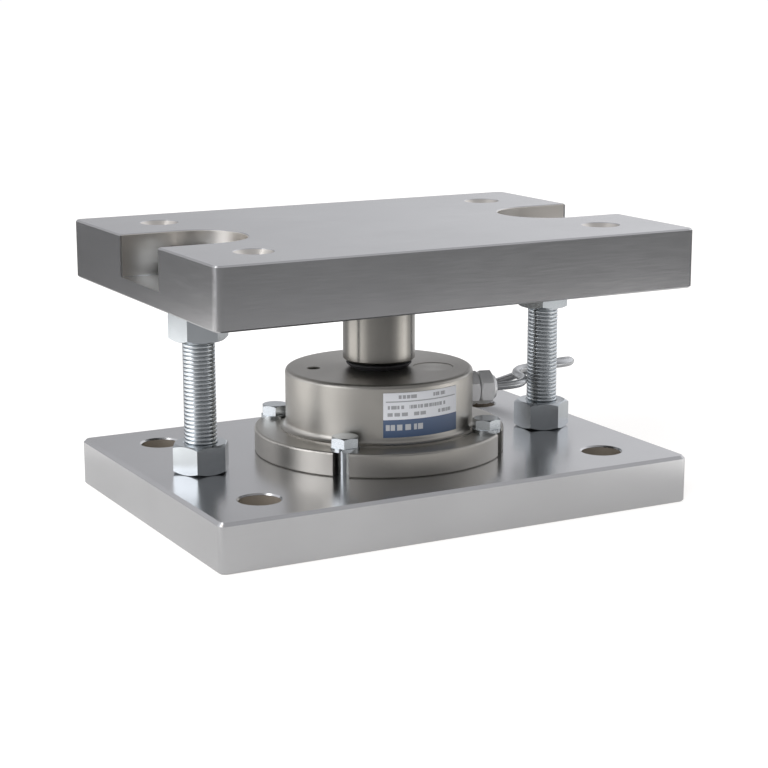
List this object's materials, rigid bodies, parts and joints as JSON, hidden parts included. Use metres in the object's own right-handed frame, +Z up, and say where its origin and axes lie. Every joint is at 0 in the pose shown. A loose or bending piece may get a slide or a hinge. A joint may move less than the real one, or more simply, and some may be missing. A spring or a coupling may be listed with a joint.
{
  "type": "load cell weighing module",
  "caption": "Weighing module: round load cell with a rocker pin between two thick ground steel plates, threaded studs with nuts at each end, cable gland and free cable",
  "frame": {"origin": "middle of the base plate's underside, on the axis of the load cell", "axes": "+X along the plates, from one stud to the other, +Y to the back where the spare cable lies, +Z up"},
  "size_m": [0.3377, 0.4015, 0.1746],
  "materials": {
    "ground_steel": "fine ground steel",
    "sensor_steel": "satin turned stainless steel",
    "hard_steel": "turned and hardened steel",
    "zinc_steel": "bright zinc plated steel",
    "nickel_brass": "nickel plated brass",
    "black_rubber": "matte black rubber",
    "label_film": "printed film",
    "cable_jacket": "glossy grey jacket",
    "tie_plastic": "black nylon",
    "shrink_sleeve": "black shrink sleeve",
    "lead_insulation": "coloured core insulation",
    "gauge_foil": "foil on film backing",
    "board_laminate": "green circuit board"
  },
  "bodies": {
    "base": {"base_plate": "ground_steel", "stud_left": "zinc_steel", "stud_right": "zinc_steel", "base_lock_nut_left": "zinc_steel", "base_lock_nut_right": "zinc_steel", "lift_off_nut_left": "zinc_steel", "lift_off_nut_right": "zinc_steel", "lift_off_washer_left": "zinc_steel", "lift_off_washer_right": "zinc_steel", "load_cell_body": "sensor_steel", "bottom_cover": "sensor_steel", "strain_gauges": "gauge_foil", "trim_board": "board_laminate", "board_screws": "zinc_steel", "filling_cap": "sensor_steel", "load_pad": "hard_steel", "dust_boot": "black_rubber", "hold_down_bolts": "zinc_steel", "spring_washers": "zinc_steel", "gland_body": "nickel_brass", "gland_nut": "nickel_brass", "gland_seal": "black_rubber", "type_label": "label_film", "cable": "cable_jacket", "cable_tail": "cable_jacket", "cable_coil": "cable_jacket", "coil_strap": "tie_plastic", "cable_end_sleeve": "shrink_sleeve", "flying_leads": "lead_insulation"},
    "top_plate": {"top_plate": "ground_steel", "upper_seat": "hard_steel", "upper_seal": "black_rubber"},
    "rocker_pin": {"rocker_pin": "hard_steel"},
    "jack_carrier_left": {"jack_washer_left": "zinc_steel"},
    "jack_carrier_right": {"jack_washer_right": "zinc_steel"},
    "jack_nut_left": {"jack_nut_left": "zinc_steel"},
    "jack_nut_right": {"jack_nut_right": "zinc_steel"}
  },
  "joints": [
    {"name": "top_plate_float", "type": "slide", "parent": "base", "child": "top_plate", "axis": [1, 0, 0], "range_m": [-0.003, 0.003], "stiffness_N_per_m": 2350},
    {"name": "rocker_pin_tilt", "type": "hinge", "parent": "base", "child": "rocker_pin", "pos_m": [0, 0, 0.0839], "axis": [0, 1, 0], "range_deg": [-2.93, 2.93]},
    {"name": "jack_travel_left", "type": "slide", "parent": "base", "child": "jack_carrier_left", "axis": [0, 0, 1], "range_m": [-0.06, 0.0042]},
    {"name": "jack_turn_left", "type": "hinge", "parent": "jack_carrier_left", "child": "jack_nut_left", "pos_m": [-0.124, 0, 0.121], "axis": [0, 0, 1], "range_deg": [-8650, 614.8]},
    {"name": "jack_travel_right", "type": "slide", "parent": "base", "child": "jack_carrier_right", "axis": [0, 0, 1], "range_m": [-0.04, 0.0042]},
    {"name": "jack_turn_right", "type": "hinge", "parent": "jack_carrier_right", "child": "jack_nut_right", "pos_m": [0.124, 0, 0.121], "axis": [0, 0, 1], "range_deg": [-5770, 614.8]}
  ],
  "couplings": [
    {"joint": "rocker_pin_tilt", "follows": "top_plate_float", "rad_per_m": 16.75},
    {"joint": "jack_turn_left", "follows": "jack_travel_left", "rad_per_m": 2513.3},
    {"joint": "jack_turn_right", "follows": "jack_travel_right", "rad_per_m": 2513.3}
  ]
}
